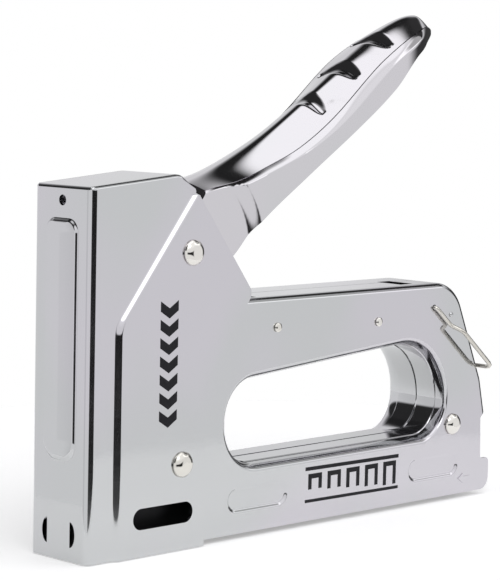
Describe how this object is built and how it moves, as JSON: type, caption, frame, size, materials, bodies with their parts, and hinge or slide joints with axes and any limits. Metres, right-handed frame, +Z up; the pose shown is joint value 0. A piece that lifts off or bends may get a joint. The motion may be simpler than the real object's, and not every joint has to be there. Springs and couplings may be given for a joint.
{
  "type": "staple gun",
  "caption": "Chrome-plated steel hand staple gun with squeeze lever, spring-driven plunger, closed hand grip, pull-out staple pusher and wire handle lock",
  "frame": {"origin": "centre of the object's box at the height of the nose's foot", "axes": "+X rearward along the magazine, from the nose to the pusher; +Y to the gun's right side; +Z up, from the foot of the nose to the lever"},
  "size_m": [0.1982, 0.0396, 0.1758],
  "materials": {
    "chrome": "bright chrome plating on pressed steel",
    "nickel": "nickel-plated rivet steel, slightly warm",
    "wire": "drawn spring wire, zinc plated",
    "steel": "plain pressed steel",
    "staples": "galvanised staple wire",
    "spring_steel": "oiled spring steel",
    "rubber": "moulded black rubber"
  },
  "bodies": {
    "frame": {"nose_housing": "chrome", "left_shell": "chrome", "right_shell": "chrome", "lever_pivot_rivet": "nickel", "nose_rivet": "nickel", "rear_rivet": "nickel", "nose_spacer": "steel", "rear_spacer": "steel", "grip_pin_front": "nickel", "grip_pin_rear": "nickel", "spring_cap": "steel", "power_spring": "spring_steel", "driver_bumper": "rubber", "blade_guide": "steel", "magazine_channel": "steel", "staple_rail": "steel", "staple_strip": "staples"},
    "squeeze_lever": {"lever": "chrome", "lifting_fork": "steel", "fork_rivet_left": "nickel", "fork_rivet_right": "nickel", "pivot_bush": "steel"},
    "plunger": {"plunger_yoke": "steel", "driver_blade": "steel"},
    "pusher": {"pusher_rod": "steel", "pusher_handle": "steel", "pusher_spring": "spring_steel"},
    "follower": {"staple_follower": "steel"},
    "handle_lock": {"handle_lock_wire": "wire"}
  },
  "joints": [
    {"name": "lever_pivot", "type": "hinge", "parent": "frame", "child": "squeeze_lever", "pos_m": [-0.05575, 0, 0.0963], "axis": [0, 1, 0], "range_deg": [0, 35], "stiffness_Nm_per_rad": 1.2, "springref_deg": -20.05},
    {"name": "plunger_slide", "type": "slide", "parent": "frame", "child": "plunger", "axis": [0, 0, 1], "range_m": [0, 0.0175], "deforming": ["power_spring"]},
    {"name": "pusher_slide", "type": "slide", "parent": "frame", "child": "pusher", "axis": [1, 0, 0], "range_m": [0, 0.11]},
    {"name": "follower_slide", "type": "slide", "parent": "pusher", "child": "follower", "axis": [1, 0, 0], "range_m": [0, 0.05], "stiffness_N_per_m": 40, "springref_m": -0.06, "deforming": ["pusher_spring"]},
    {"name": "handle_lock", "type": "hinge", "parent": "frame", "child": "handle_lock", "pos_m": [0.06545, 0, 0.0712], "axis": [0, -1, 0], "range_deg": [0, 100]}
  ],
  "couplings": [
    {"joint": "plunger_slide", "follows": "lever_pivot", "m_per_rad": 0.028}
  ]
}
